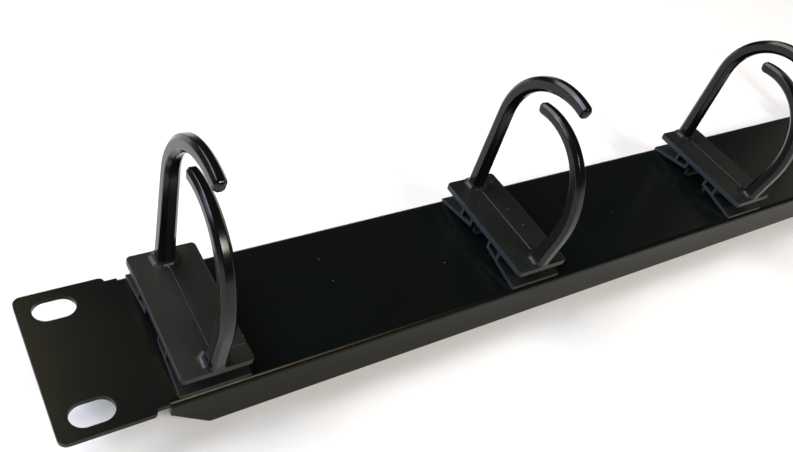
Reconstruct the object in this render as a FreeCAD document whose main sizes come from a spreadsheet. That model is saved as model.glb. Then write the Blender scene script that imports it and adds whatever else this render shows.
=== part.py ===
import FreeCAD, Part
import math
import os
import re
import Sketcher

# Horizontal cable manager for a 19 inch rack, one rack unit high.
#
# One folded steel panel carries five plastic cable rings. Each ring is a single snap-in
# moulding: a plate on two spring wings, two barbed legs that go through slots in the panel,
# and two tapered eight-sided arms, a tall hook and a shorter finger that curls in under it.
#
# Frame: millimetres, +X along the panel, +Y towards the hooks' side, +Z the way the rings
# stand. The origin is the centre of the four rack slots on the back face of the ears, so the
# sheet lies between z = 0 and z = sheet_gauge.

Vector = FreeCAD.Vector
Placement = FreeCAD.Placement
Rotation = FreeCAD.Rotation

SIZES = [
    # alias, value, what it is
    ("panel_length", 482.6, "over the ears"),
    ("ear_height", 43.7, "across the ears"),
    ("ear_length", 22.2, "from the panel's end to the notch beside the ear"),
    ("ear_corner", 2.2, "corner radius of the ears"),
    ("notch_corner", 1.2, "smaller corner radius where the notch starts"),
    ("sheet_gauge", 1.5, "steel sheet"),
    ("slot_spacing_long", 465.1, "rack slots, centre to centre along the panel"),
    ("slot_spacing_high", 31.75, "rack slots, centre to centre across the panel"),
    ("slot_length", 10.5, "rack slot, end to end"),
    ("slot_width", 7.0, "rack slot"),
    ("flange_inset", 0.95, "flange's outer face, in from the ear's edge"),
    ("bend_inside", 0.5, "inner radius of the folds"),
    ("notch_inset", 0.4, "notch floor, in from the flange's outer face"),
    ("flange_setback", 25.4, "panel end to flange end"),
    ("flange_drop", 13.2, "panel's upper face to the flange's lower edge"),
    ("flange_nose", 4.3, "depth at which the flange's end starts to slope"),
    ("flange_slope", 10.4, "length of the sloped end along the panel"),
    ("ring_count", 5, "rings on the panel"),
    ("ring_setback", 36.7, "panel's end to the middle of the first ring"),
    ("base_width", 18.4, "ring base along the panel"),
    ("base_length", 40.6, "ring plate across the panel"),
    ("base_rise", 7.7, "plate's upper face above the panel"),
    ("base_corner", 1.2, "corner radius of the plate"),
    ("plate_gauge", 2.0, "ring plate"),
    ("parting_step", 0.15, "step along the mould's parting line"),
    ("wing_gauge", 1.4, "spring wing, measured upright"),
    ("wing_inset", 0.2, "wing tip, in from the plate's end"),
    ("wing_land", 1.4, "flat foot under the wing's tip"),
    ("wing_root_rise", 2.9, "wing's underside above the panel at its root"),
    ("hub_half", 4.3, "half of the open middle between the legs"),
    ("rib_gauge", 1.2, "ribs between plate and wing"),
    ("rib_window", 3.8, "window between the two ribs"),
    ("leg_width", 13.0, "snap leg along the panel"),
    ("leg_clearance", 0.15, "between a leg and its slot"),
    ("leg_give", 1.0, "room on a leg's inner side, where it springs in"),
    ("barb_clearance", 0.1, "between a barb and the panel's back"),
    ("barb_reach", 0.9, "how far a barb hooks out past its leg"),
    ("barb_face", 0.5, "upright face of the barb"),
    ("barb_length", 3.2, "barb and lead-in below the panel's back"),
    ("arm_width", 4.8, "arm at its foot, along the panel"),
    ("arm_depth", 4.9, "arm at its foot, in the ring's plane"),
    ("arm_facet", 1.2, "corner cut of the arm's section at its foot"),
    ("arm_fillet", 2.0, "fillet round an arm's foot"),
    ("tip_facet", 0.8, "corner cut of the arm's section at its tip"),
    ("tip_ease", 1.0, "easing of the arms' tips"),
    ("hook_inset", 0.75, "hook's outer face at its foot, in from the plate's end"),
    ("hook_lean", 1.0, "degrees inwards"),
    ("hook_straight", 30.0, "straight part of the hook"),
    ("hook_radius", 20.3, "bend of the hook"),
    ("hook_sweep", 108.0, "degrees"),
    ("hook_tip_width", 3.2, "along the panel"),
    ("hook_tip_depth", 4.0, "in the ring's plane"),
    ("finger_inset", 0.1, "finger's outer face at its foot, in from the plate's end"),
    ("finger_lean", 9.5, "degrees outwards"),
    ("finger_straight", 12.4, "straight part of the finger"),
    ("finger_belly", 31.0, "first, wide bend of the finger"),
    ("finger_belly_sweep", 33.0, "degrees"),
    ("finger_radius", 19.0, "second, tighter bend"),
    ("finger_sweep", 83.0, "degrees"),
    ("finger_tip_width", 3.1, "along the panel"),
    ("finger_tip_depth", 3.5, "in the ring's plane"),
]

# Places that follow from the sizes above, as formulas in their names.
RING_ROW = "(panel_length - 2 * ring_setback)"
RING_PITCH = "(" + RING_ROW + " / (ring_count - 1))"
BODY_HALF = "(ear_height / 2 - flange_inset)"
WING_REACH = "(base_length / 2 - wing_inset)"
HOOK_FOOT = "(base_length / 2 - hook_inset - arm_depth / 2)"
FINGER_FOOT = "(base_length / 2 - finger_inset - arm_depth / 2)"


# Two places this close, in millimetres, are the same place.
SAME = 1e-3


# ---- the document's own tools ----

doc = FreeCAD.newDocument("cable_manager")
sheet = doc.addObject("Spreadsheet::Sheet", "sizes")


def fill_sheet():
    """Put every driving size in the sheet, one row each, under its alias."""
    for row, (alias, value, note) in enumerate(SIZES, start=1):
        sheet.set("A%d" % row, alias)
        sheet.set("B%d" % row, str(value))
        sheet.set("C%d" % row, note)
        sheet.setAlias("B%d" % row, alias)
    doc.recompute()


def named(text):
    """Write a formula in the sheet's aliases as an expression that other objects can hold."""
    aliases = "|".join(alias for alias, value, note in SIZES)
    return re.sub(r"\b(%s)\b" % aliases, r"sizes.\1", text)


def number(text):
    """The present value of a formula in the sheet's aliases."""
    value = sheet.evalExpression(named(text))
    return float(getattr(value, "Value", value))


def minus(text):
    return "-(" + text + ")"


def plane(body, role):
    return [feature for feature in body.Origin.OriginFeatures if feature.Role == role][0]


def new_sketch(body, name, role):
    sketch = body.newObject("Sketcher::SketchObject", name)
    sketch.AttachmentSupport = [(plane(body, role), "")]
    sketch.MapMode = "FlatFace"
    return sketch


def bind(sketch, constraint, formula):
    """Add a dimension to a sketch and tie it to a formula in the sheet's aliases."""
    place = sketch.addConstraint(constraint)
    sketch.setExpression("Constraints[%d]" % place, named(formula))


def pin_point(sketch, geometry, end, across, up):
    """Fix one end of a line or arc by its two distances from the sketch's origin."""
    bind(sketch, Sketcher.Constraint("DistanceX", -1, 1, geometry, end, number(across)), across)
    bind(sketch, Sketcher.Constraint("DistanceY", -1, 1, geometry, end, number(up)), up)


def outline(sketch, corners):
    """A closed polygon whose corners are pairs of formulas."""
    spots = [Vector(number(across), number(up), 0) for across, up in corners]
    first = sketch.GeometryCount
    count = len(spots)
    for place, spot in enumerate(spots):
        sketch.addGeometry(Part.LineSegment(spot, spots[(place + 1) % count]), False)
    for place in range(count):
        following = first + (place + 1) % count
        sketch.addConstraint(Sketcher.Constraint("Coincident", first + place, 2, following, 1))
    for place, (across, up) in enumerate(corners):
        pin_point(sketch, first + place, 1, across, up)


def rectangle(sketch, left, right, bottom, top):
    outline(sketch, [(left, bottom), (right, bottom), (right, top), (left, top)])


def tied(feature, **formulas):
    for name, formula in formulas.items():
        feature.setExpression(name, named(formula))
    return feature


def pad(body, name, sketch, length, both_ways=False):
    feature = body.newObject("PartDesign::Pad", name)
    feature.Profile = sketch
    feature.SideType = "Symmetric" if both_ways else "One side"
    return tied(feature, Length=length)


def cut_through(body, name, sketch):
    """A pocket right through the body, both ways from its sketch."""
    feature = body.newObject("PartDesign::Pocket", name)
    feature.Profile = sketch
    feature.SideType = "Symmetric"
    feature.Type = "ThroughAll"
    return feature


def edge_names(feature, wanted):
    """Names of the edges of a feature's shape that pass a test on the edge."""
    doc.recompute()
    edges = feature.Shape.Edges
    return ["Edge%d" % (place + 1) for place, edge in enumerate(edges) if wanted(edge)]


def round_edges(body, name, base, radius, wanted):
    feature = body.newObject("PartDesign::Fillet", name)
    feature.Base = (base, edge_names(base, wanted))
    return tied(feature, Radius=radius)


def ease_edges(body, name, base, size, wanted):
    feature = body.newObject("PartDesign::Chamfer", name)
    feature.Base = (base, edge_names(base, wanted))
    return tied(feature, Size=size)


def upright(edge):
    box = edge.BoundBox
    return box.XLength < SAME and box.YLength < SAME


def level_at(edge, height):
    return abs(edge.BoundBox.ZMin - height) < SAME and abs(edge.BoundBox.ZMax - height) < SAME


# ---- the folded steel panel ----

def flat_blank(body):
    """The flat of the panel: a strip with an ear at each end, narrower between the folds."""
    strip = new_sketch(body, "strip_outline", "XY_Plane")
    half_length = "panel_length / 2"
    ear = "panel_length / 2 - ear_length"
    edge = "ear_height / 2"
    floor = BODY_HALF + " - notch_inset"
    flange_end = "panel_length / 2 - flange_setback"
    fold = BODY_HALF + " - sheet_gauge - bend_inside"
    quarter = [(half_length, edge), (ear, edge), (ear, floor), (flange_end, floor),
               (flange_end, fold)]
    corners = list(quarter)
    corners += [(minus(across), up) for across, up in reversed(quarter)]
    corners += [(minus(across), minus(up)) for across, up in quarter]
    corners += [(across, minus(up)) for across, up in reversed(quarter)]
    outline(strip, corners)
    return pad(body, "flat_strip", strip, "sheet_gauge")


def folded_channel(body):
    """The section over the flanges: web, two folds and two flanges of one thickness."""
    section = new_sketch(body, "channel_section", "YZ_Plane")
    side = number(BODY_HALF)
    gauge = number("sheet_gauge")
    inner = number("bend_inside")
    foot = number("sheet_gauge - flange_drop")
    lines = []

    def line(from_spot, to_spot):
        lines.append(sketch_line(section, from_spot, to_spot))
        return lines[-1]

    start = side - gauge - inner
    web_top = line((-start, gauge), (start, gauge))
    right_out = line((side, -inner), (side, foot))
    right_foot = line((side, foot), (side - gauge, foot))
    right_in = line((side - gauge, foot), (side - gauge, -inner))
    web_under = line((start, 0.0), (-start, 0.0))
    left_in = line((gauge - side, -inner), (gauge - side, foot))
    left_foot = line((gauge - side, foot), (-side, foot))
    left_out = line((-side, foot), (-side, -inner))
    folds = []
    for hand in (1, -1):
        middle = Vector(hand * start, -inner, 0)
        for radius in (gauge + inner, inner):
            turn = (0.0, math.pi / 2) if hand > 0 else (math.pi / 2, math.pi)
            arc = Part.ArcOfCircle(Part.Circle(middle, Vector(0, 0, 1), radius), *turn)
            folds.append(section.addGeometry(arc, False))
    right_outer, right_inner, left_outer, left_inner = folds
    for arc, arc_end, straight, line_end in [
            (right_outer, 2, web_top, 2), (right_outer, 1, right_out, 1),
            (right_inner, 2, web_under, 1), (right_inner, 1, right_in, 2),
            (left_outer, 1, web_top, 1), (left_outer, 2, left_out, 2),
            (left_inner, 1, web_under, 2), (left_inner, 2, left_in, 1)]:
        section.addConstraint(Sketcher.Constraint("Tangent", arc, arc_end, straight, line_end))
    for before, after in [(right_out, right_foot), (right_foot, right_in),
                          (left_in, left_foot), (left_foot, left_out)]:
        section.addConstraint(Sketcher.Constraint("Coincident", before, 2, after, 1))
    for straight in (web_top, web_under, right_foot, left_foot):
        section.addConstraint(Sketcher.Constraint("Horizontal", straight))
    for straight in (right_out, right_in, left_in, left_out):
        section.addConstraint(Sketcher.Constraint("Vertical", straight))
    bind(section, Sketcher.Constraint("DistanceY", -1, 1, web_top, 1, gauge), "sheet_gauge")
    section.addConstraint(Sketcher.Constraint("PointOnObject", web_under, 1, -1))
    for hand, foot_line, outer_end in ((1, right_foot, 1), (-1, left_foot, 2)):
        reach = BODY_HALF if hand > 0 else minus(BODY_HALF)
        pin_point(section, foot_line, outer_end, reach, "sheet_gauge - flange_drop")
        bind(section, Sketcher.Constraint("DistanceX", foot_line, 2, foot_line, 1, gauge),
             "sheet_gauge")
    for arc in (right_inner, left_inner):
        bind(section, Sketcher.Constraint("Radius", arc, inner), "bend_inside")
    return pad(body, "folded_channel", section, "panel_length - 2 * flange_setback", True)


def sketch_line(sketch, from_spot, to_spot):
    return sketch.addGeometry(Part.LineSegment(Vector(*from_spot, 0), Vector(*to_spot, 0)), False)


def slope_flange_ends(body):
    """Both ends of both flanges slope back from a short upright nose."""
    sketch = new_sketch(body, "flange_ends", "XZ_Plane")
    end = "panel_length / 2 - flange_setback"
    nose = "sheet_gauge - flange_nose"
    foot = "sheet_gauge - flange_drop"
    for turn in (str, minus):
        outline(sketch, [(turn(end), nose), (turn(end), foot), (turn(end + " - flange_slope"), foot)])
    return cut_through(body, "sloped_flange_ends", sketch)


def rack_slots(body):
    """Four slots for the rack screws, long way along the panel."""
    sketch = new_sketch(body, "slot_outlines", "XY_Plane")
    radius = number("slot_width / 2")
    run = number("slot_length / 2 - slot_width / 2")
    for across in ("slot_spacing_long / 2", "-slot_spacing_long / 2"):
        for up in ("slot_spacing_high / 2", "-slot_spacing_high / 2"):
            x, y = number(across), number(up)
            upper = sketch_line(sketch, (x - run, y + radius), (x + run, y + radius))
            lower = sketch_line(sketch, (x + run, y - radius), (x - run, y - radius))
            ends = []
            for hand in (1, -1):
                circle = Part.Circle(Vector(x + hand * run, y, 0), Vector(0, 0, 1), radius)
                start = -math.pi / 2 if hand > 0 else math.pi / 2
                arc = Part.ArcOfCircle(circle, start, start + math.pi)
                ends.append(sketch.addGeometry(arc, False))
            for arc, arc_end, straight, line_end in [
                    (ends[0], 1, lower, 1), (ends[0], 2, upper, 2),
                    (ends[1], 1, upper, 1), (ends[1], 2, lower, 2)]:
                sketch.addConstraint(
                    Sketcher.Constraint("Tangent", arc, arc_end, straight, line_end))
            sketch.addConstraint(Sketcher.Constraint("Horizontal", upper))
            bind(sketch, Sketcher.Constraint("Radius", ends[0], radius), "slot_width / 2")
            for arc, hand in ((ends[0], " + "), (ends[1], " - ")):
                middle = across + hand + "(slot_length - slot_width) / 2"
                bind(sketch, Sketcher.Constraint("DistanceX", -1, 1, arc, 3, number(middle)), middle)
            bind(sketch, Sketcher.Constraint("DistanceY", -1, 1, ends[0], 3, y), up)
    return cut_through(body, "rack_slots", sketch)


def snap_slots(body):
    """Two slots under each ring, one for each leg, with room for the leg to spring inwards."""
    sketch = new_sketch(body, "snap_slot_pair", "XY_Plane")
    middle = minus(RING_ROW + " / 2")
    half_width = "(leg_width / 2 + leg_clearance)"
    near = "hub_half - leg_give"
    far = "hub_half + rib_gauge + leg_clearance"
    for turn in (str, minus):
        rectangle(sketch, middle + " - " + half_width, middle + " + " + half_width,
                  turn(near), turn(far))
    slots = cut_through(body, "snap_slots_cut", sketch)
    doc.recompute()
    row = body.newObject("PartDesign::LinearPattern", "snap_slot_row")
    row.Originals = [slots]
    row.Direction = (sketch, ["H_Axis"])
    body.Tip = row
    return tied(row, Length=RING_ROW, Occurrences="ring_count")


def mounting_panel():
    body = doc.addObject("PartDesign::Body", "mounting_panel")
    blank = flat_blank(body)
    half_length = number("panel_length / 2")
    rounded = round_edges(body, "ear_corners", blank, "ear_corner",
                          lambda edge: upright(edge)
                          and abs(edge.BoundBox.XMax) > half_length - SAME)
    round_edges(body, "notch_corners", rounded, "notch_corner",
                lambda edge: upright(edge) and edge.Curve.TypeId == "Part::GeomLine"
                and abs(edge.BoundBox.XMax) < half_length - number("ear_corner") - SAME
                and abs(edge.BoundBox.YMax) > number("ear_height / 2") - SAME)
    folded_channel(body)
    slope_flange_ends(body)
    rack_slots(body)
    snap_slots(body)
    return body


# ---- the snap-in cable ring ----

def ring_base(body):
    """Plate, ribs and spring wings in one section, as long as the base is wide.

    The plate starts longer than the finished one, so that the fillets round the arms' feet
    have a face to run out on. trim_plate_ends cuts it to length afterwards.
    """
    section = new_sketch(body, "base_section", "YZ_Plane")
    top = "base_rise"
    under = "base_rise - plate_gauge"
    plate_end = "base_length / 2 + 2 * arm_fillet"
    tip = WING_REACH
    heel = WING_REACH + " - wing_land"
    rib_in = "hub_half"
    rib_out = "hub_half + rib_gauge"
    strut_in = "hub_half + rib_gauge + rib_window"
    strut_out = "hub_half + 2 * rib_gauge + rib_window"
    fall = "wing_root_rise / (" + heel + " - hub_half)"

    def wing_top(reach):
        return "wing_gauge + (%s - (%s)) * %s" % (heel, reach, fall)

    half = [(plate_end, top), (plate_end, under), (strut_out, under),
            (strut_out, wing_top(strut_out)), (heel, "wing_gauge"), (tip, "wing_gauge * 0.8"),
            (tip, "0"), (heel, "0"), (rib_in, "wing_root_rise"), (rib_in, under)]
    outline(section, half + [(minus(across), up) for across, up in reversed(half)])
    for turn in (str, minus):
        outline(section, [(turn(rib_out), under), (turn(strut_in), under),
                          (turn(strut_in), wing_top(strut_in)), (turn(rib_out), wing_top(rib_out))])
    return pad(body, "base_bar", section, "base_width", True)


def arm_section(body, name, base, angle, width, depth, facet):
    """An eight-sided section square to the arm's path: base is its place, angle its lean."""
    sketch = new_sketch(body, name, "XY_Plane")
    sketch.AttachmentOffset = Placement(
        Vector(0, number(base[0]), number(base[1])), Rotation(Vector(1, 0, 0), number(angle)))
    tied(sketch, **{"AttachmentOffset.Base.y": base[0], "AttachmentOffset.Base.z": base[1],
                    "AttachmentOffset.Rotation.Angle": angle})
    side = "%s / 2" % width
    face = "%s / 2" % depth
    side_end = side + " - " + facet
    face_end = face + " - " + facet
    quarter = [(side, face_end), (side_end, face)]
    corners = list(quarter)
    corners += [(minus(across), up) for across, up in reversed(quarter)]
    corners += [(minus(across), minus(up)) for across, up in quarter]
    corners += [(across, minus(up)) for across, up in reversed(quarter)]
    outline(sketch, corners)
    return sketch


def arm_path(body, name, foot, lean, runs):
    """The arm's centre line in the ring's plane: a straight run, then tangent bends.

    foot is the place where the line starts, inside the plate. runs starts with the straight
    length; each bend is (radius, sweep, sense), sense +1 turning towards -Y. Returns the
    sketch and the formulas for the end of the line and its lean there.
    """
    sketch = new_sketch(body, name, "YZ_Plane")
    straight, bends = runs[0], runs[1:]
    across, up = foot
    end_across = "%s - (%s) * sin(%s * 1deg)" % (across, straight, lean)
    end_up = "%s + (%s) * cos(%s * 1deg)" % (up, straight, lean)
    line = sketch_line(sketch, (number(across), number(up)),
                       (number(end_across), number(end_up)))
    pin_point(sketch, line, 1, across, up)
    pin_point(sketch, line, 2, end_across, end_up)
    previous, previous_end = line, 2
    heading = lean
    for radius, sweep, sense in bends:
        mark = "" if sense > 0 else "-"
        turned = "%s %s %s" % (heading, "+" if sense > 0 else "-", sweep)
        centre_across = "%s - (%s%s) * cos((%s) * 1deg)" % (end_across, mark, radius, heading)
        centre_up = "%s - (%s%s) * sin((%s) * 1deg)" % (end_up, mark, radius, heading)
        end_across = "%s + (%s%s) * cos((%s) * 1deg)" % (centre_across, mark, radius, turned)
        end_up = "%s + (%s%s) * sin((%s) * 1deg)" % (centre_up, mark, radius, turned)
        middle = Vector(number(centre_across), number(centre_up), 0)
        circle = Part.Circle(middle, Vector(0, 0, 1), number(radius))
        half_turn = 0.0 if sense > 0 else math.pi
        from_angle = math.radians(number(heading)) + half_turn
        to_angle = math.radians(number(turned)) + half_turn
        if sense > 0:
            arc = sketch.addGeometry(Part.ArcOfCircle(circle, from_angle, to_angle), False)
            near, far = 1, 2
        else:
            arc = sketch.addGeometry(Part.ArcOfCircle(circle, to_angle, from_angle), False)
            near, far = 2, 1
        sketch.addConstraint(Sketcher.Constraint("Tangent", previous, previous_end, arc, near))
        bind(sketch, Sketcher.Constraint("Radius", arc, number(radius)), radius)
        bind(sketch, Sketcher.Constraint("DistanceX", -1, 1, arc, far, number(end_across)),
             end_across)
        previous, previous_end = arc, far
        heading = turned
    return sketch, (end_across, end_up), heading


def arm(body, name, foot_reach, lean, runs, tip_width, tip_depth):
    """A tapered arm swept from its foot section to its tip section along a path."""
    depth_in_plate = "plate_gauge / 2"
    foot = ("%s + %s * sin(%s * 1deg)" % (foot_reach, depth_in_plate, lean),
            "base_rise - %s * cos(%s * 1deg)" % (depth_in_plate, lean))
    runs = ["%s + %s" % (runs[0], depth_in_plate)] + runs[1:]
    path, tip, tip_lean = arm_path(body, name + "_path", foot, lean, runs)
    start = arm_section(body, name + "_foot_section", foot, lean,
                        "arm_width", "arm_depth", "arm_facet")
    finish = arm_section(body, name + "_tip_section", tip, tip_lean,
                         tip_width, tip_depth, "tip_facet")
    sweep = body.newObject("PartDesign::AdditivePipe", name + "_arm")
    sweep.Profile = start
    sweep.Spine = path
    sweep.Mode = "Standard"
    sweep.Transformation = "Multisection"
    sweep.Sections = [finish]
    return ease_edges(body, name + "_eased_tip", sweep, "tip_ease",
                      lambda edge: at_tip(edge, tip, tip_lean))


def at_tip(edge, tip, lean):
    """Whether an edge lies in the end face of an arm."""
    place = Vector(0, number(tip[0]), number(tip[1]))
    turn = math.radians(number(lean))
    along = Vector(0, -math.sin(turn), math.cos(turn))
    reach = number("arm_width")
    spots = [vertex.Point - place for vertex in edge.Vertexes]
    return all(abs(spot.dot(along)) < SAME and spot.Length < reach for spot in spots)


def trim_plate_ends(body):
    """Cut the plate to its length, level with the outer faces of the arms' feet."""
    sketch = new_sketch(body, "plate_ends", "YZ_Plane")
    end = "base_length / 2"
    beyond = "base_length / 2 + 4 * arm_fillet"
    under = "base_rise - plate_gauge - arm_fillet / 2"
    over = "base_rise + 1.2 * arm_fillet"
    rectangle(sketch, end, beyond, under, over)
    leaning = end + " + 1.2 * arm_fillet * tan(finger_lean * 1deg)"
    outline(sketch, [(minus(end), under), (minus(end), "base_rise"), (minus(leaning), over),
                     (minus(beyond), over), (minus(beyond), under)])
    return cut_through(body, "plate_ends_cut", sketch)


def snap_legs(body):
    """Two barbed legs: each rib carries on down through the panel and hooks under it."""
    sketch = new_sketch(body, "leg_section", "YZ_Plane")
    inner = "hub_half"
    outer = "hub_half + rib_gauge"
    barb = outer + " + barb_reach"
    shoulder = "-sheet_gauge - barb_clearance"
    for turn in (str, minus):
        outline(sketch, [
            (turn(inner), "wing_root_rise + wing_gauge / 2"),
            (turn(outer), "wing_root_rise + wing_gauge / 2"),
            (turn(outer), shoulder), (turn(barb), shoulder), (turn(barb), shoulder + " - barb_face"),
            (turn(outer + " - rib_gauge / 2"), "-sheet_gauge - barb_length"),
            (turn(inner), "-sheet_gauge - barb_length")])
    return pad(body, "snap_legs", sketch, "leg_width", True)


def parting_line(body):
    """One mould half stands a hair proud of the other between the two feet."""
    sketch = new_sketch(body, "parting_half", "XY_Plane")
    sketch.AttachmentOffset = Placement(Vector(0, 0, number("base_rise")), Rotation())
    tied(sketch, **{"AttachmentOffset.Base.z": "base_rise"})
    rectangle(sketch, "0", "base_width / 2", minus(FINGER_FOOT + " - arm_depth / 2"),
              HOOK_FOOT + " - arm_depth / 2")
    return pad(body, "parting_step_pad", sketch, "parting_step")


def cable_ring(name, index):
    body = doc.addObject("PartDesign::Body", name)
    ring_base(body)
    arm(body, "hook", HOOK_FOOT, "hook_lean",
        ["hook_straight", ("hook_radius", "hook_sweep", 1)],
        "hook_tip_width", "hook_tip_depth")
    both_arms = arm(body, "finger", minus(FINGER_FOOT), "finger_lean",
                    ["finger_straight",
                     ("finger_belly", "finger_belly_sweep", -1),
                     ("finger_radius", "finger_sweep", -1)],
                    "finger_tip_width", "finger_tip_depth")
    half_arm = number("arm_width / 2") + SAME
    round_edges(body, "foot_fillets", both_arms, "arm_fillet",
                lambda edge: level_at(edge, number("base_rise"))
                and edge.BoundBox.XMax < half_arm and edge.BoundBox.XMin > -half_arm)
    trimmed = trim_plate_ends(body)
    round_edges(body, "plate_corners", trimmed, "base_corner",
                lambda edge: upright(edge)
                and abs(edge.BoundBox.XMax) > number("base_width / 2") - SAME
                and edge.BoundBox.ZMin > number("base_rise - plate_gauge") - SAME)
    snap_legs(body)
    parting_line(body)
    seat = "%s * %d - %s / 2" % (RING_PITCH, index, RING_ROW)
    body.setExpression("Placement.Base.x", named(seat))
    body.setExpression("Placement.Base.z", named("sheet_gauge"))
    return body


# ---- build, check and write ----

fill_sheet()
pieces = [mounting_panel()]
for index in range(int(number("ring_count"))):
    pieces.append(cable_ring("cable_ring_%d" % (index + 1), index))
doc.recompute()

for item in doc.Objects:
    if "Invalid" in item.State or "Error" in item.State:
        raise RuntimeError("%s did not build: %s" % (item.Label, item.getStatusString()))
for piece in pieces:
    if piece.Shape.isNull() or not piece.Shape.isValid() or len(piece.Shape.Solids) != 1:
        raise RuntimeError("%s is not one sound solid" % piece.Label)

os.makedirs("parts", exist_ok=True)
for piece in pieces:
    piece.Shape.exportStep("parts/%s.step" % piece.Label)
    box = piece.Shape.BoundBox
    print("%-16s %9.1f mm3  x %7.2f %7.2f  y %6.2f %6.2f  z %6.2f %6.2f" % (
        piece.Label, piece.Shape.Volume, box.XMin, box.XMax, box.YMin, box.YMax,
        box.ZMin, box.ZMax))
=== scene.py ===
import math

import bmesh
import bpy
from bpy.props import FloatProperty, FloatVectorProperty, IntProperty, PointerProperty
from bpy.types import Operator, Panel, PropertyGroup
from mathutils import Matrix, Vector


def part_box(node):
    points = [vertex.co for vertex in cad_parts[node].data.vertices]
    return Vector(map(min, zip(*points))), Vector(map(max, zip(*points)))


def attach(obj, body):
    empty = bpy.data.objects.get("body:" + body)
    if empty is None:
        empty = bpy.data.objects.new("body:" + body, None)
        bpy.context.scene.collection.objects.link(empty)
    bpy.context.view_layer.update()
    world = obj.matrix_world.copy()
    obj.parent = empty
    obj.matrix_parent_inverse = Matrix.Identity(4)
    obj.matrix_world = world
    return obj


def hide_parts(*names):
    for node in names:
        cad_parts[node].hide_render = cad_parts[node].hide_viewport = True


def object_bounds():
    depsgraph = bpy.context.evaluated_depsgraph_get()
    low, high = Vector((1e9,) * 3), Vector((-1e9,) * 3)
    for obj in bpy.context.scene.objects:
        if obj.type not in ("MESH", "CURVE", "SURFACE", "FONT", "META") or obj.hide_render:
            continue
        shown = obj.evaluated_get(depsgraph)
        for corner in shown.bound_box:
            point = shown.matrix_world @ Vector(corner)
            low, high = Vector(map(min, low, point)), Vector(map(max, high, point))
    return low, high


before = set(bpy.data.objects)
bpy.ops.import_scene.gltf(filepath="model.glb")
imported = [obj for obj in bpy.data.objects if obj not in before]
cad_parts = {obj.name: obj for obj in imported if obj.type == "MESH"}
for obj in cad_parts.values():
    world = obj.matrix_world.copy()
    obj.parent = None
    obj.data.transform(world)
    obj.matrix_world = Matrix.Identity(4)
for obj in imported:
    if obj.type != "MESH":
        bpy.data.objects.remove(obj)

bl_info = {
    "name": "Cable Manager Studio",
    "version": (1, 0, 0),
    "blender": (4, 5, 0),
    "location": "View3D > Sidebar > Cable Manager",
    "description": "Builds a rack cable manager: a coated steel panel and its row of cable rings",
    "category": "Object",
}

MM = 0.001
CAD_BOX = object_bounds()
PANEL_NODE = "mounting_panel"
RING_NODES = sorted(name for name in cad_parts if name.startswith("cable_ring"))
SHEET_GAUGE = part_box(PANEL_NODE)[1].z

# A ring's fixed proportions, in millimetres: across is along its own Y, up from the sheet.
PLATE_GAUGE = 2.0
WING_GAUGE = 1.4
WING_INSET = 0.2
WING_LAND = 1.4
WING_ROOT_RISE = 2.9
HUB_HALF = 4.3
RIB_GAUGE = 1.2
RIB_WINDOW = 3.8
LEG_WIDTH = 13.0
BARB_REACH = 0.9
BARB_FACE = 0.5
BARB_LENGTH = 3.2
BARB_CLEARANCE = 0.1
BASE_CORNER = 1.2
FOOT_DEPTH = 1.0

# Pattern sizes in millimetres. A mould's grain is nearer 0.05 mm and a grain of dust smaller than
# these specks: both are drawn coarser so that they show from where the part is looked at.
ORANGE_PEEL = 2.2
GLOSS_DRIFT = 60
FLOW_MARK = 14
MOULD_GRAIN = 0.5
TABLE_TOOTH = 4
DUST_CELL = 9.0

DUST_COLOUR = "6A6861"
SECOND_COAT_TONE = "0C0F0E"
WALL_COLOUR = "9A9DA3"
LOOKS_UP = 0.8                # a face's normal along Z, above which dust settles on it
SHEEN_SIDEWAYS = (0.8, 0.97)  # its normal along X, where the painted sheen on upright sides starts and is full

WELD = 0.001 * MM             # vertices closer than this are one
FUSED_WELD = 0.002 * MM
CORNER = math.radians(40)     # an edge sharper than this is eased
CAP_SHRINK = 0.98             # the dome's last section, short of a point

# Name; azimuth and elevation in degrees; distance, width and height in metres; the setting that
# holds its power and its part of that; tint.
LAMPS = (
    ("back_softbox", 124, 45, 1.6, 1.1, 1.1, "key_power", 1.0, "FFF8EC"),
    ("left_window", 162, 34, 1.3, 0.60, 0.50, "window_power", 1.0, "E0E7FF"),
    ("front_lamp", -79, 44, 0.9, 0.14, 0.21, "front_power", 1.0, "FFF8EA"),
    ("second_front_lamp", -65, 40, 0.9, 0.08, 0.15, "front_power", 0.25, "FFF1D8"),
    ("right_window", 4, 24, 1.2, 0.6, 0.6, "right_power", 1.0, "FFF6E6"),
)
LAMPS_AIM = -0.12             # metres along X from the panel's middle

TABLE_HALF = 4.0
TABLE_DROP = 0.05 * MM
CAMERA_PLACE = (-0.25919, -0.11980, 0.17119)
CAMERA_RIGHT = (0.83608, -0.49697, 0.23236)
CAMERA_DOWN = (-0.21184, -0.68314, -0.69888)
CAMERA_AHEAD = (0.50606, 0.53510, -0.67644)


# ---- colours and materials ----

def linear(hex_colour):
    """A colour written as sRGB hex, such as 1A1B19, as linear RGBA."""
    channels = [int(hex_colour[place:place + 2], 16) / 255 for place in (0, 2, 4)]
    return [value / 12.92 if value <= 0.04045 else ((value + 0.055) / 1.055) ** 2.4
            for value in channels] + [1.0]


def node(tree, kind, settings=None, **links):
    """Add a node. settings are its attributes and its sockets' values; links feed its inputs.

    A socket is written by its name with underscores, or as in_0 where names repeat.
    """
    made = tree.nodes.new(kind)

    def socket(name):
        if name.startswith("in_"):
            return made.inputs[int(name[3:])]
        return made.inputs[name.replace("_", " ")]

    for name, value in (settings or {}).items():
        if hasattr(made, name):
            setattr(made, name, value)
        else:
            socket(name).default_value = value
    for name, source in links.items():
        tree.links.new(source, socket(name))
    return made


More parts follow.
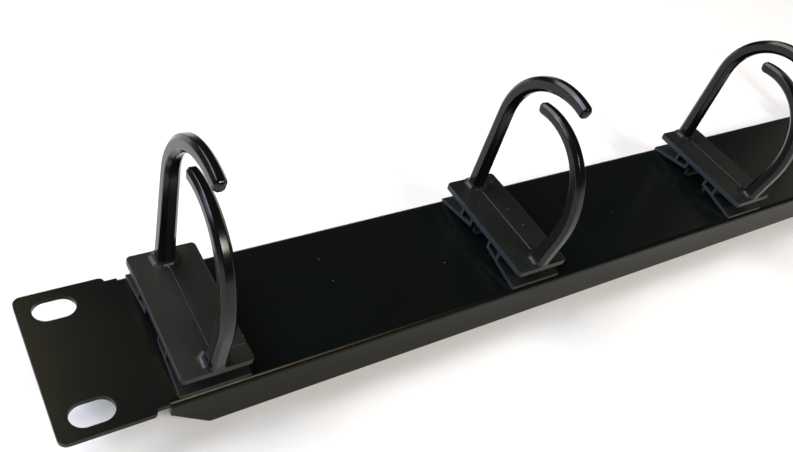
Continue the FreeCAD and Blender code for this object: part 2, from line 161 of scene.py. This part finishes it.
def ramp(tree, source, stops):
    """A colour ramp: stops are (place, grey level)."""
    made = node(tree, "ShaderNodeValToRGB", Fac=source)
    elements = made.color_ramp.elements
    while len(elements) < len(stops):
        elements.new(0.5)
    for element, (place, level) in zip(elements, stops):
        element.position = place
        element.color = (level, level, level, 1)
    return made.outputs["Color"]


def blank_material(name):
    """A new material with only its output: (material, node tree, output, object coordinates)."""
    material = bpy.data.materials.new(name)
    material.use_nodes = True
    tree = material.node_tree
    tree.nodes.clear()
    output = tree.nodes.new("ShaderNodeOutputMaterial")
    place = node(tree, "ShaderNodeTexCoord").outputs["Object"]
    return material, tree, output, place


def cycles_per_metre(size_mm):
    """A noise scale whose blobs are about this many millimetres across."""
    return 1 / (size_mm * MM)


def facing(tree):
    """A face's direction, in the object's own axes."""
    return node(tree, "ShaderNodeSeparateXYZ",
                Vector=node(tree, "ShaderNodeTexCoord").outputs["Normal"])


def dust_mask(tree, place, settings):
    """A mask of a few round specks on faces that look up."""
    cells = node(tree, "ShaderNodeTexVoronoi",
                 {"voronoi_dimensions": "2D", "Scale": cycles_per_metre(DUST_CELL)}, Vector=place)
    speck = node(tree, "ShaderNodeMath", {"operation": "LESS_THAN", "in_1": settings.speck_size},
                 in_0=cells.outputs["Distance"])
    pick = node(tree, "ShaderNodeSeparateColor", Color=cells.outputs["Color"])
    rare = node(tree, "ShaderNodeMath", {"operation": "LESS_THAN", "in_1": settings.speck_share},
                in_0=pick.outputs["Red"])
    level = node(tree, "ShaderNodeMath", {"operation": "GREATER_THAN", "in_1": LOOKS_UP},
                 in_0=facing(tree).outputs["Z"])
    mask = node(tree, "ShaderNodeMath", {"operation": "MULTIPLY"},
                in_0=speck.outputs[0], in_1=rare.outputs[0])
    return node(tree, "ShaderNodeMath", {"operation": "MULTIPLY"},
                in_0=mask.outputs[0], in_1=level.outputs[0]).outputs[0]


def powder_coat(settings):
    """Smooth black polyester powder coat, sprayed on folded mild steel and baked.

    It is a semi-gloss film with a faint orange peel, slightly uneven in gloss, with a few
    settled specks of dust that show light against it.
    """
    material, tree, output, place = blank_material("powder_coated_steel")
    peel = node(tree, "ShaderNodeTexNoise",
                {"Scale": cycles_per_metre(ORANGE_PEEL), "Detail": 2.0, "Roughness": 0.5}, Vector=place)
    drift = node(tree, "ShaderNodeTexNoise",
                 {"Scale": cycles_per_metre(GLOSS_DRIFT), "Detail": 3.0, "Roughness": 0.6}, Vector=place)
    film = node(tree, "ShaderNodeMix",
                {"data_type": "RGBA", "A": list(settings.colour) + [1.0],
                 "B": linear(SECOND_COAT_TONE)},
                Factor=ramp(tree, drift.outputs["Fac"], [(0.35, 0.0), (0.7, 1.0)]))
    dusty = node(tree, "ShaderNodeMix", {"data_type": "RGBA", "in_7": linear(DUST_COLOUR)},
                 in_0=dust_mask(tree, place, settings), in_6=film.outputs[2])
    gloss = node(tree, "ShaderNodeMapRange",
                 {"To_Min": settings.roughness - 0.05, "To_Max": settings.roughness + 0.09},
                 Value=drift.outputs["Fac"])
    skin = node(tree, "ShaderNodeBump", {"Strength": 0.25, "Distance": 0.02 * MM},
                Height=peel.outputs["Fac"])
    shader = node(tree, "ShaderNodeBsdfPrincipled",
                  {"IOR": 1.5, "Specular IOR Level": 0.15, "Specular Tint": linear("FFF2C8"),
                   "Metallic": 0.0},
                  Base_Color=dusty.outputs[2], Roughness=gloss.outputs["Result"],
                  Normal=skin.outputs["Normal"])
    tree.links.new(shader.outputs[0], output.inputs["Surface"])
    return material


def moulded_plastic(settings):
    """Black ABS, injection moulded: polished arms, and a plate from a fine eroded mould face.

    The arms mirror lights in long streaks; the plate and wings are satin and look greyer, and
    their upright sides are painted paler and bluer: a painted sheen that stands in for lamplight on
    them.
    """
    material, tree, output, place = blank_material("moulded_abs")
    height = node(tree, "ShaderNodeSeparateXYZ", Vector=place)
    plate_top = settings.base_rise + 0.3 * MM + SHEET_GAUGE
    on_arm = node(tree, "ShaderNodeMapRange",
                  {"From_Min": plate_top, "From_Max": plate_top + 1.5 * MM},
                  Value=height.outputs["Z"])
    flow = node(tree, "ShaderNodeTexNoise",
                {"Scale": cycles_per_metre(FLOW_MARK), "Detail": 3.0, "Roughness": 0.55}, Vector=place)
    grain = node(tree, "ShaderNodeTexNoise",
                 {"Scale": cycles_per_metre(MOULD_GRAIN), "Detail": 2.0, "Roughness": 0.6}, Vector=place)
    # Painted sheen: faces turned along X get a paler, bluer colour that stands in for the lamps' light
    # on the upright sides.
    sheen_facing = node(tree, "ShaderNodeMath", {"operation": "ABSOLUTE"},
                    in_0=facing(tree).outputs["X"])
    sheen_on_side = node(tree, "ShaderNodeMapRange",
                   {"From_Min": SHEEN_SIDEWAYS[0], "From_Max": SHEEN_SIDEWAYS[1]},
                   Value=sheen_facing.outputs[0])
    base = node(tree, "ShaderNodeMix",
                {"data_type": "RGBA", "A": list(settings.plate_colour) + [1.0],
                 "B": list(settings.side_sheen_colour) + [1.0]}, Factor=sheen_on_side.outputs["Result"])
    tint = node(tree, "ShaderNodeMix",
                {"data_type": "RGBA", "in_7": list(settings.arm_colour) + [1.0]},
                in_0=on_arm.outputs["Result"], in_6=base.outputs[2])
    dusty = node(tree, "ShaderNodeMix", {"data_type": "RGBA", "in_7": linear(DUST_COLOUR)},
                 in_0=dust_mask(tree, place, settings), in_6=tint.outputs[2])
    handled = ramp(tree, flow.outputs["Fac"], [(0.3, 0.0), (0.75, 1.0)])
    gloss_arm = node(tree, "ShaderNodeMapRange",
                     {"To_Min": settings.arm_roughness - 0.04,
                      "To_Max": settings.arm_roughness + 0.07}, Value=handled)
    gloss_plate = node(tree, "ShaderNodeMapRange",
                       {"To_Min": settings.plate_roughness - 0.07,
                        "To_Max": settings.plate_roughness + 0.10}, Value=handled)
    gloss = node(tree, "ShaderNodeMix", {"data_type": "FLOAT"},
                 Factor=on_arm.outputs["Result"], A=gloss_plate.outputs["Result"],
                 B=gloss_arm.outputs["Result"])
    depth = node(tree, "ShaderNodeMapRange", {"To_Min": 1.0, "To_Max": 0.12},
                 Value=on_arm.outputs["Result"])
    relief = node(tree, "ShaderNodeMath", {"operation": "MULTIPLY"},
                  in_0=grain.outputs["Fac"], in_1=depth.outputs["Result"])
    skin = node(tree, "ShaderNodeBump", {"Strength": 0.35, "Distance": 0.02 * MM},
                Height=relief.outputs[0])
    shine = node(tree, "ShaderNodeMapRange", {"To_Min": 0.25, "To_Max": 0.27},
                 Value=on_arm.outputs["Result"])
    shader = node(tree, "ShaderNodeBsdfPrincipled", {"IOR": 1.53, "Metallic": 0.0},
                  Specular_IOR_Level=shine.outputs["Result"], Base_Color=dusty.outputs[2],
                  Roughness=gloss.outputs[0], Normal=skin.outputs["Normal"])
    tree.links.new(shader.outputs[0], output.inputs["Surface"])
    return material


def white_table(settings):
    """Matt white table top. The lens and mirror-like surfaces see it plain; it keeps shadows."""
    material, tree, output, place = blank_material("matt_white_table")
    rays = node(tree, "ShaderNodeLightPath")
    seen = node(tree, "ShaderNodeMath", {"operation": "MAXIMUM"},
                in_0=rays.outputs["Is Camera Ray"], in_1=rays.outputs["Is Glossy Ray"])
    seen_clear = node(tree, "ShaderNodeMath", {"operation": "MAXIMUM"},
                      in_0=seen.outputs[0], in_1=rays.outputs["Is Transmission Ray"])
    tooth = node(tree, "ShaderNodeTexNoise", {"Scale": cycles_per_metre(TABLE_TOOTH)}, Vector=place)
    level = node(tree, "ShaderNodeMapRange", {"To_Min": 0.78, "To_Max": 0.82},
                 Value=tooth.outputs["Fac"])
    top = node(tree, "ShaderNodeBsdfDiffuse", Color=level.outputs["Result"])
    lift = node(tree, "ShaderNodeEmission", {"Color": (1, 1, 1, 1)})
    strength = node(tree, "ShaderNodeMath", {"operation": "MULTIPLY", "in_1": settings.floor_lift},
                    in_0=seen_clear.outputs[0])
    tree.links.new(strength.outputs[0], lift.inputs["Strength"])
    both = node(tree, "ShaderNodeAddShader", in_0=top.outputs[0], in_1=lift.outputs[0])
    tree.links.new(both.outputs[0], output.inputs["Surface"])
    return material


def room_world(settings):
    """A pale wall all round the table, and a dim ceiling that black gloss shows as black."""
    world = bpy.data.worlds.new("pale_wall_dim_ceiling")
    world.use_nodes = True
    tree = world.node_tree
    tree.nodes.clear()
    output = tree.nodes.new("ShaderNodeOutputWorld")
    towards = node(tree, "ShaderNodeTexCoord").outputs["Generated"]
    rise = node(tree, "ShaderNodeSeparateXYZ", Vector=towards)
    fade = node(tree, "ShaderNodeMapRange",
                {"interpolation_type": "SMOOTHSTEP", "From_Min": 0.02, "From_Max": 0.15},
                Value=rise.outputs["Z"])
    blend = node(tree, "ShaderNodeMix", {"data_type": "RGBA"}, in_0=fade.outputs["Result"])
    blend.inputs[6].default_value = linear(WALL_COLOUR)
    level = settings.ceiling_level
    blend.inputs[7].default_value = (level, level, level * 1.05, 1)
    sky = node(tree, "ShaderNodeBackground", {"Strength": 1.0}, Color=blend.outputs[2])
    tree.links.new(sky.outputs[0], output.inputs["Surface"])
    return world


# ---- meshes ----

def as_object(mesh_or_bmesh, name):
    """Put a mesh, or a bmesh which is then freed, into the scene as an object at the origin."""
    mesh = mesh_or_bmesh
    if isinstance(mesh_or_bmesh, bmesh.types.BMesh):
        mesh = bpy.data.meshes.new(name)
        mesh_or_bmesh.to_mesh(mesh)
        mesh_or_bmesh.free()
    made = bpy.data.objects.new(name, mesh)
    bpy.context.scene.collection.objects.link(made)
    return made


def soften(piece, crease):
    """Smooth shading that keeps flat faces flat and breaks at corners sharper than crease."""
    for face in piece.data.polygons:
        face.use_smooth = True
    piece.data.set_sharp_from_angle(angle=crease)
    weighted = piece.modifiers.new("even_normals", "WEIGHTED_NORMAL")
    weighted.keep_sharp = True


def sharp_edges(bm):
    """The edges whose two faces meet at more than CORNER."""
    return [edge for edge in bm.edges
            if len(edge.link_faces) == 2 and edge.calc_face_angle(0) > CORNER]


def ease(bm, edges, size, segments):
    """Round edges off by this much."""
    bmesh.ops.bevel(bm, geom=edges, offset=size, offset_type="OFFSET", segments=segments,
                    profile=0.5, material=-1, affect="EDGES", clamp_overlap=True)


def strip(bm, pairs):
    """A ribbon in the plane x = 0: a first edge, extruded to each next pair of (y, z) points.

    Returns its edges in order along each side: (first side's edges, second side's edges).
    """
    ends = [bm.verts.new((0, *spot)) for spot in pairs[0]]
    edge = bm.edges.new(ends)
    sides = ([], [])
    for pair in pairs[1:]:
        grown = bmesh.ops.extrude_edge_only(bm, edges=[edge])["geom"]
        edge = next(item for item in grown if isinstance(item, bmesh.types.BMEdge)
                    and all(vert in grown for vert in item.verts))
        new_ends = []
        for old in ends:
            new = next(item for item in grown if isinstance(item, bmesh.types.BMVert)
                       and (item.co - old.co).length < 1e-9 and item not in new_ends)
            new_ends.append(new)
        for new, spot in zip(new_ends, pair):
            new.co = (0, *spot)
        for side, old, new in zip(sides, ends, new_ends):
            side.append(bm.edges.get((old, new)))
        ends = new_ends
    return sides


def thicken(bm, width):
    """Extrude the flat ribbons of a bmesh, which lie at x = 0, to a slab this wide."""
    bmesh.ops.recalc_face_normals(bm, faces=bm.faces)
    grown = bmesh.ops.extrude_face_region(bm, geom=bm.faces[:])["geom"]
    moved = [item for item in grown if isinstance(item, bmesh.types.BMVert)]
    bmesh.ops.translate(bm, verts=moved, vec=(width, 0, 0))
    bmesh.ops.translate(bm, verts=bm.verts, vec=(-width / 2, 0, 0))
    bmesh.ops.recalc_face_normals(bm, faces=bm.faces)


def both_halves(bm):
    """Mirror a bmesh to -Y and join it on the middle plane."""
    bmesh.ops.mirror(bm, geom=bm.verts[:] + bm.edges[:] + bm.faces[:], axis="Y",
                     merge_dist=WELD)
    bmesh.ops.remove_doubles(bm, verts=bm.verts, dist=WELD)


def ring_base(shape):
    """Plate, ribs and spring wings, as one slab with eased edges."""
    top = shape.base_rise
    under = top - PLATE_GAUGE * MM
    tip = shape.base_length / 2 - WING_INSET * MM
    heel = tip - WING_LAND * MM
    rib_in = HUB_HALF * MM
    rib_out = rib_in + RIB_GAUGE * MM
    strut_in = rib_out + RIB_WINDOW * MM
    strut_out = strut_in + RIB_GAUGE * MM
    fall = WING_ROOT_RISE * MM / (heel - rib_in)
    gauge = WING_GAUGE * MM

    bm = bmesh.new()
    wing = [((y, (heel - y) * fall), (y, (heel - y) * fall + gauge))
            for y in (rib_in, rib_out, strut_in, strut_out, heel)]
    wing.append(((tip, 0), (tip, 0.8 * gauge)))
    wing_under, wing_over = strip(bm, wing)
    plate = [((y, under), (y, top))
             for y in (0, rib_in, rib_out, strut_in, strut_out, shape.base_length / 2)]
    plate_under, plate_over = strip(bm, plate)
    for wing_edge, plate_edge in ((wing_over[0], plate_under[1]), (wing_over[2], plate_under[3])):
        bmesh.ops.bridge_loops(bm, edges=[wing_edge, plate_edge])
    both_halves(bm)
    thicken(bm, shape.base_width)
    corners = [edge for edge in bm.edges
               if abs(edge.verts[0].co.z - edge.verts[1].co.z) > 1.0 * MM
               and all(abs(vert.co.y) > tip - 0.01 * MM and vert.co.z > under - 0.01 * MM
                       for vert in edge.verts)
               and abs(edge.verts[0].co.y - edge.verts[1].co.y) < 0.01 * MM]
    ease(bm, corners, BASE_CORNER * MM, 4)
    ease(bm, sharp_edges(bm), shape.edge_ease, 2)
    return bm


def snap_legs():
    """The barbed legs below the wings' roots, a pair facing outwards."""
    inner = HUB_HALF * MM
    outer = inner + RIB_GAUGE * MM
    barb = outer + BARB_REACH * MM
    back = -SHEET_GAUGE
    shoulder = back - BARB_CLEARANCE * MM
    foot = back - BARB_LENGTH * MM
    bm = bmesh.new()
    strip(bm, [((inner, WING_ROOT_RISE * MM + 0.7 * MM), (outer, WING_ROOT_RISE * MM + 0.7 * MM)),
               ((inner, back), (outer, back)),
               ((inner, shoulder), (barb, shoulder)),
               ((inner, shoulder - BARB_FACE * MM), (barb, shoulder - BARB_FACE * MM)),
               ((inner, foot), (outer - RIB_GAUGE * MM / 2, foot))])
    bmesh.ops.mirror(bm, geom=bm.verts[:] + bm.edges[:] + bm.faces[:], axis="Y",
                     merge_dist=WELD)
    thicken(bm, LEG_WIDTH * MM)
    ease(bm, sharp_edges(bm), 0.1 * MM, 1)
    return bm


def parting_half(shape):
    """The half of the plate that one mould half leaves a hair proud, between the arms' feet."""
    near = -shape.base_length / 2 + shape.arm_depth
    far = shape.base_length / 2 - shape.arm_depth - 0.8 * MM
    bm = bmesh.new()
    bmesh.ops.create_cube(bm, size=1)
    bmesh.ops.scale(bm, verts=bm.verts,
                    vec=(shape.base_width / 2 - 0.3 * MM, far - near, 1.0 * MM))
    bmesh.ops.translate(bm, verts=bm.verts, vec=(
        shape.base_width / 4 - 0.15 * MM, (near + far) / 2,
        shape.base_rise + shape.parting_step - 0.5 * MM))
    ease(bm, sharp_edges(bm), 0.13 * MM, 1)
    return bm


class Station:
    """One place along an arm: its middle, its lean, and the section's size there."""

    def __init__(self, across, up, lean, width, depth, aside=0.0):
        self.frame = (Matrix.Translation((0, across, up)) @ Matrix.Rotation(lean, 4, "X")
                      @ Matrix.Translation((0, aside, 0)) @ Matrix.Diagonal((width, depth, 1, 1)))


def arm_stations(shape, foot, inwards, ledge, lean, runs, tip):
    """Stations from inside the plate to the arm's domed tip.

    foot is (y, z) on the plate's top; inwards is the side of the fillet, +1 towards +Y;
    ledge is how far the fillet may reach on the outer side; runs is the straight length and
    then bends of (radius, sweep, sense), sense +1 turning towards -Y; tip is (width, depth).
    """
    root = (shape.arm_width, shape.arm_depth)
    length = runs[0] + sum(radius * sweep for radius, sweep, sense in runs[1:])
    stations = []
    place = Vector((0, foot[0], foot[1]))
    heading = lean

    def forward(angle):
        return Vector((0, -math.sin(angle), math.cos(angle)))

    def add(spot, angle, run, grow_in=0.0, grow_out=0.0, shrink=0.0):
        along = min(max(run / length, 0.0), 1.0)
        width, depth = (a + (b - a) * along for a, b in zip(root, tip))
        stations.append(Station(
            spot.y, spot.z, angle, width + 2 * grow_in - 2 * shrink,
            depth + grow_in + grow_out - 2 * shrink, inwards * (grow_in - grow_out) / 2))

    fillet = shape.arm_fillet
    add(place - forward(heading) * FOOT_DEPTH * MM, heading, 0, fillet, min(fillet, ledge))
    for step in range(shape.fillet_steps):
        angle = math.pi / 2 * step / shape.fillet_steps
        reach = fillet * (1 - math.sin(angle))
        rise = fillet * (1 - math.cos(angle))
        add(place + forward(heading) * rise, heading, rise, reach, min(reach, ledge))
    add(place + forward(heading) * fillet, heading, fillet)
    place = place + forward(heading) * runs[0]
    gone = runs[0]
    add(place, heading, gone)
    # The last bend stops short of the arm's end by the height of the dome on it.
    dome = shape.tip_round
    last_radius, last_sweep, last_sense = runs[-1]
    bends = runs[1:-1] + [(last_radius, last_sweep - dome / last_radius, last_sense)]
    for radius, sweep, sense in bends:
        middle = place + Matrix.Rotation(heading, 3, "X") @ Vector((0, -sense * radius, 0))
        steps = math.ceil(sweep / shape.bend_step)
        for step in range(1, steps + 1):
            turned = heading + sense * sweep * step / steps
            spot = middle + Matrix.Rotation(turned, 3, "X") @ Vector((0, sense * radius, 0))
            add(spot, turned, gone + radius * sweep * step / steps)
        heading = turned
        gone += radius * sweep
        place = spot
    for step in range(1, shape.fillet_steps + 1):
        angle = math.pi / 2 * step / shape.fillet_steps
        add(place + forward(heading) * dome * math.sin(angle), heading, gone,
            shrink=dome * CAP_SHRINK * (1 - math.cos(angle)))
    return stations


def swept_arm(shape, stations):
    """An eight-sided bar: a section face with eased corners, extruded from place to place."""
    bm = bmesh.new()
    bmesh.ops.create_grid(bm, x_segments=1, y_segments=1, size=0.5)
    root = Matrix.Diagonal((shape.arm_width, shape.arm_depth, 1, 1))
    bmesh.ops.transform(bm, matrix=root, verts=bm.verts)
    for size, segments in ((shape.arm_facet, 1), (shape.edge_ease, 3)):
        bmesh.ops.bevel(bm, geom=bm.verts[:], offset=size, offset_type="OFFSET",
                        segments=segments, profile=0.5, material=-1, affect="VERTICES")
    bmesh.ops.transform(bm, matrix=stations[0].frame @ root.inverted(), verts=bm.verts)
    current = stations[0].frame
    cap = bm.faces[:]
    for place, station in enumerate(stations[1:]):
        grown = bmesh.ops.extrude_face_region(bm, geom=cap)["geom"]
        if place > 0:
            bmesh.ops.delete(bm, geom=cap, context="FACES_ONLY")
        cap = [item for item in grown if isinstance(item, bmesh.types.BMFace)]
        moved = [item for item in grown if isinstance(item, bmesh.types.BMVert)]
        bmesh.ops.transform(bm, matrix=station.frame @ current.inverted(), verts=moved)
        current = station.frame
    bmesh.ops.recalc_face_normals(bm, faces=bm.faces)
    return bm


def hook_arm(shape):
    """The taller arm: straight, then one bend over the ring towards -Y."""
    foot = shape.base_length / 2 - shape.hook_inset - shape.arm_depth / 2
    runs = [shape.hook_straight, (shape.hook_radius, shape.hook_sweep, 1)]
    return swept_arm(shape, arm_stations(shape, (foot, shape.base_rise), -1, shape.hook_inset,
                                         shape.hook_lean, runs, tuple(shape.hook_tip)))


def finger_arm(shape):
    """The shorter arm: straight, then a wide bend and a tighter one towards +Y."""
    foot = -shape.base_length / 2 + shape.finger_inset + shape.arm_depth / 2
    runs = [shape.finger_straight,
            (shape.finger_belly_radius, shape.finger_belly_sweep, -1),
            (shape.finger_radius, shape.finger_sweep, -1)]
    return swept_arm(shape, arm_stations(shape, (foot, shape.base_rise), 1, shape.finger_inset,
                                         shape.finger_lean, runs, tuple(shape.finger_tip)))


def fused(body, others):
    """One closed skin round a body and what grows into it. Returns the mesh; all are removed."""
    for other in others:
        union = body.modifiers.new("grow_" + other.name, "BOOLEAN")
        union.operation = "UNION"
        union.solver = "EXACT"
        union.object = other
    graph = bpy.context.evaluated_depsgraph_get()
    mesh = bpy.data.meshes.new_from_object(body.evaluated_get(graph))
    for piece in [body] + others:
        shell = piece.data
        bpy.data.objects.remove(piece)
        bpy.data.meshes.remove(shell)
    bm = bmesh.new()
    bm.from_mesh(mesh)
    bmesh.ops.remove_doubles(bm, verts=bm.verts, dist=FUSED_WELD)
    bmesh.ops.dissolve_degenerate(bm, edges=bm.edges, dist=FUSED_WELD)
    bm.to_mesh(mesh)
    bm.free()
    return mesh


def ring_mesh(shape):
    """The whole moulding as one mesh, standing on z = 0 about the origin."""
    base = as_object(ring_base(shape), "ring_base")
    others = [as_object(snap_legs(), "ring_legs"),
              as_object(parting_half(shape), "ring_parting"),
              as_object(hook_arm(shape), "ring_hook"),
              as_object(finger_arm(shape), "ring_finger")]
    return fused(base, others)


# ---- what a user can change ----

def length(name, description, millimetres):
    return FloatProperty(name=name, description=description, default=millimetres * MM,
                         unit="LENGTH", precision=5, min=0.0)


def turn(name, description, degrees):
    return FloatProperty(name=name, description=description, default=math.radians(degrees),
                         subtype="ANGLE", min=0.0)


def colour(name, description, hex_colour):
    return FloatVectorProperty(name=name, description=description, subtype="COLOR",
                               default=linear(hex_colour)[:3], min=0.0, max=1.0)


def share(name, description, default):
    return FloatProperty(name=name, description=description, default=default, subtype="FACTOR",
                         min=0.0, max=1.0)


def power(name, description, watts):
    return FloatProperty(name=name, description=description, default=watts, min=0.0,
                         unit="POWER")


class SteelPanelSettings(PropertyGroup):
    """Edges and coating of the folded steel panel."""
    edge_ease: length("Edge", "Rounding of the coated sheet's edges", 0.6)
    colour: colour("Coat", "Colour of the powder coat", "080D0E")
    roughness: share("Roughness", "Roughness of the powder coat", 0.24)
    speck_size: share("Speck size", "Size of a dust speck, as a share of its cell", 0.018)
    speck_share: share("Speck share", "Share of the cells that hold a speck", 0.05)


class RingSettings(PropertyGroup):
    """Shape and finish of the moulded cable rings."""
    base_width: length("Base width", "Base along the panel", 18.4)
    base_length: length("Plate length", "Plate across the panel", 40.6)
    base_rise: length("Base rise", "Plate's upper face above the sheet", 7.7)
    parting_step: length("Parting step", "Step along the mould's parting line", 0.15)
    edge_ease: length("Edge", "Rounding of the moulding's edges", 0.26)
    arm_width: length("Arm width", "Arm at its foot, along the panel", 4.8)
    arm_depth: length("Arm depth", "Arm at its foot, in the ring's plane", 4.9)
    arm_facet: length("Facet", "Corner cut of the arm's section", 1.2)
    arm_fillet: length("Foot fillet", "Fillet round an arm's foot", 1.7)
    tip_round: length("Tip", "Dome on the arms' tips", 1.5)
    hook_inset: length("Hook inset", "Hook's outer face in from the plate's end", 0.75)
    hook_lean: turn("Hook lean", "Lean of the hook inwards", 1.0)
    hook_straight: length("Hook straight", "Straight part of the hook", 29.98)
    hook_radius: length("Hook radius", "Bend of the hook", 20.3)
    hook_sweep: turn("Hook sweep", "How far the hook bends over", 108.0)
    hook_tip: FloatVectorProperty(name="Hook tip", description="Width and depth of its tip",
                                  size=2, default=(3.2 * MM, 4.0 * MM), unit="LENGTH")
    finger_inset: length("Finger inset", "Finger's outer face in from the plate's end", 0.11)
    finger_lean: FloatProperty(name="Finger lean", description="Lean of the finger outwards",
                               default=math.radians(9.5), subtype="ANGLE")
    finger_straight: length("Finger straight", "Straight part of the finger", 12.4)
    finger_belly_radius: length("Belly radius", "First, wide bend of the finger", 31.0)
    finger_belly_sweep: turn("Belly sweep", "How far the wide bend turns", 33.0)
    finger_radius: length("Finger radius", "Second bend of the finger", 19.0)
    finger_sweep: turn("Finger sweep", "How far the second bend turns", 83.0)
    finger_tip: FloatVectorProperty(name="Finger tip", description="Width and depth of its tip",
                                    size=2, default=(3.1 * MM, 3.5 * MM), unit="LENGTH")
    bend_step: turn("Bend step", "Largest turn between two sections of a bend", 4.0)
    fillet_steps: IntProperty(name="Fillet steps", description="Steps in a fillet or dome",
                              default=6, min=2, max=16)
    arm_colour: colour("Arm colour", "Colour of the polished arms", "0B0C0D")
    plate_colour: colour("Plate colour", "Colour of the satin plate and wings", "161A17")
    # A painted sheen: a paler, bluer colour for the upright sides, standing in for lamplight on them.
    side_sheen_colour: colour("Side colour", "Painted sheen on the upright sides of plate and wings", "2C3038")
    arm_roughness: share("Arm roughness", "Roughness of the polished arms", 0.15)
    plate_roughness: share("Plate roughness", "Roughness of the plate and wings", 0.42)
    speck_size: share("Speck size", "Size of a dust speck, as a share of its cell", 0.022)
    speck_share: share("Speck share", "Share of the cells that hold a speck", 0.30)


class StudioSettings(PropertyGroup):
    """Table, lamps and camera."""
    floor_lift: share("Table lift", "How white the table looks beside its shadow", 0.20)
    key_power: power("Key", "Power of the softbox behind", 24.0)
    window_power: power("Window", "Power of the window on the left", 13.0)
    front_power: power("Front", "Power of the lamps in front", 3.4)
    right_power: power("Right", "Power of the dim window on the right", 0.7)
    ceiling_level: share("Ceiling", "Grey level of the room above the table", 0.025)
    lens: FloatProperty(name="Lens", description="Focal length", default=36.91,
                        min=1.0, unit="CAMERA")


# ---- operators ----

def dress(piece, material, *nodes):
    """Give a finished piece its material and its body, and hide the CAD node that it stands for."""
    piece.data.materials.clear()
    piece.data.materials.append(material)
    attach(piece, "root")
    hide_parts(*nodes)


class OBJECT_OT_steel_panel(Operator):
    """Make the folded steel panel, with eased edges and its powder coat"""
    bl_idname = "object.cable_manager_panel"
    bl_label = "Steel panel"

    def execute(self, context):
        settings = context.scene.cable_panel
        bm = bmesh.new()
        bm.from_mesh(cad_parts[PANEL_NODE].data)
        bmesh.ops.remove_doubles(bm, verts=bm.verts, dist=WELD)
        bmesh.ops.dissolve_limit(bm, angle_limit=math.radians(0.5), verts=bm.verts,
                                 edges=bm.edges)
        ease(bm, sharp_edges(bm), settings.edge_ease, 3)
        piece = as_object(bm, "coated_panel")
        soften(piece, math.radians(35))
        dress(piece, powder_coat(settings), PANEL_NODE)
        return {"FINISHED"}


class OBJECT_OT_cable_rings(Operator):
    """Make the row of moulded cable rings, one where each ring of the frame stands"""
    bl_idname = "object.cable_manager_rings"
    bl_label = "Cable rings"

    def execute(self, context):
        settings = context.scene.cable_rings
        mesh = ring_mesh(settings)
        material = moulded_plastic(settings)
        for number, ring in enumerate(RING_NODES, start=1):
            low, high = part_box(ring)
            own = mesh.copy()
            own.transform(Matrix.Translation(((low.x + high.x) / 2, 0, SHEET_GAUGE)))
            piece = as_object(own, "moulded_ring_%d" % number)
            soften(piece, math.radians(32))
            dress(piece, material, ring)
        bpy.data.meshes.remove(mesh)
        return {"FINISHED"}


class OBJECT_OT_studio(Operator):
    """Make the table, the lamps, the world and the camera"""
    bl_idname = "object.cable_manager_studio"
    bl_label = "Studio"

    def execute(self, context):
        settings = context.scene.cable_studio
        scene = context.scene
        scene.view_settings.view_transform = "Standard"
        low, high = CAD_BOX
        bm = bmesh.new()
        bmesh.ops.create_grid(bm, x_segments=1, y_segments=1, size=TABLE_HALF)
        bmesh.ops.translate(bm, verts=bm.verts, vec=(0, 0, low.z - TABLE_DROP))
        table = as_object(bm, "table")
        table.data.materials.append(white_table(settings))

        scene.world = room_world(settings)
        aim = Vector(((low.x + high.x) / 2 + LAMPS_AIM, 0, SHEET_GAUGE))
        for name, azimuth, elevation, reach, width, height, source, part, tint in LAMPS:
            towards = Matrix.Rotation(math.radians(azimuth), 3, "Z") @ Vector(
                (math.cos(math.radians(elevation)), 0, math.sin(math.radians(elevation))))
            data = bpy.data.lights.new(name, "AREA")
            data.shape = "RECTANGLE"
            data.size = width
            data.size_y = height
            data.energy = getattr(settings, source) * part
            data.color = linear(tint)[:3]
            made = bpy.data.objects.new(name, data)
            made.location = aim + towards * reach
            made.rotation_euler = (-towards).to_track_quat("-Z", "Y").to_euler()
            scene.collection.objects.link(made)

        data = bpy.data.cameras.new("camera")
        data.lens = settings.lens
        data.sensor_width = 36.0
        data.clip_start = 0.01
        camera = bpy.data.objects.new("camera", data)
        axes = (Vector(CAMERA_RIGHT), -Vector(CAMERA_DOWN), -Vector(CAMERA_AHEAD))
        turned = Matrix(axes).transposed().to_4x4()
        camera.matrix_world = Matrix.Translation(Vector(CAMERA_PLACE)) @ turned
        scene.collection.objects.link(camera)
        scene.camera = camera
        return {"FINISHED"}


class VIEW3D_PT_cable_manager(Panel):
    """The cable manager's operators and settings"""
    bl_label = "Cable Manager"
    bl_idname = "VIEW3D_PT_cable_manager"
    bl_space_type = "VIEW_3D"
    bl_region_type = "UI"
    bl_category = "Cable Manager"

    def draw(self, context):
        for operator, group in GROUPS:
            box = self.layout.box()
            box.operator(operator)
            settings = getattr(context.scene, group)
            for name in settings.bl_rna.properties.keys():
                if name not in ("rna_type", "name"):
                    box.prop(settings, name)


GROUPS = [
    ("object.cable_manager_panel", "cable_panel"),
    ("object.cable_manager_rings", "cable_rings"),
    ("object.cable_manager_studio", "cable_studio"),
]
SETTINGS = {"cable_panel": SteelPanelSettings, "cable_rings": RingSettings,
            "cable_studio": StudioSettings}
CLASSES = (SteelPanelSettings, RingSettings, StudioSettings, OBJECT_OT_steel_panel,
           OBJECT_OT_cable_rings, OBJECT_OT_studio, VIEW3D_PT_cable_manager)


def register():
    for item in CLASSES:
        bpy.utils.register_class(item)
    for name, group in SETTINGS.items():
        setattr(bpy.types.Scene, name, PointerProperty(type=group))


def unregister():
    for name in SETTINGS:
        delattr(bpy.types.Scene, name)
    for item in reversed(CLASSES):
        bpy.utils.unregister_class(item)


def main():
    register()
    bpy.ops.object.cable_manager_panel()
    bpy.ops.object.cable_manager_rings()
    bpy.ops.object.cable_manager_studio()


if __name__ == "__main__":
    main()
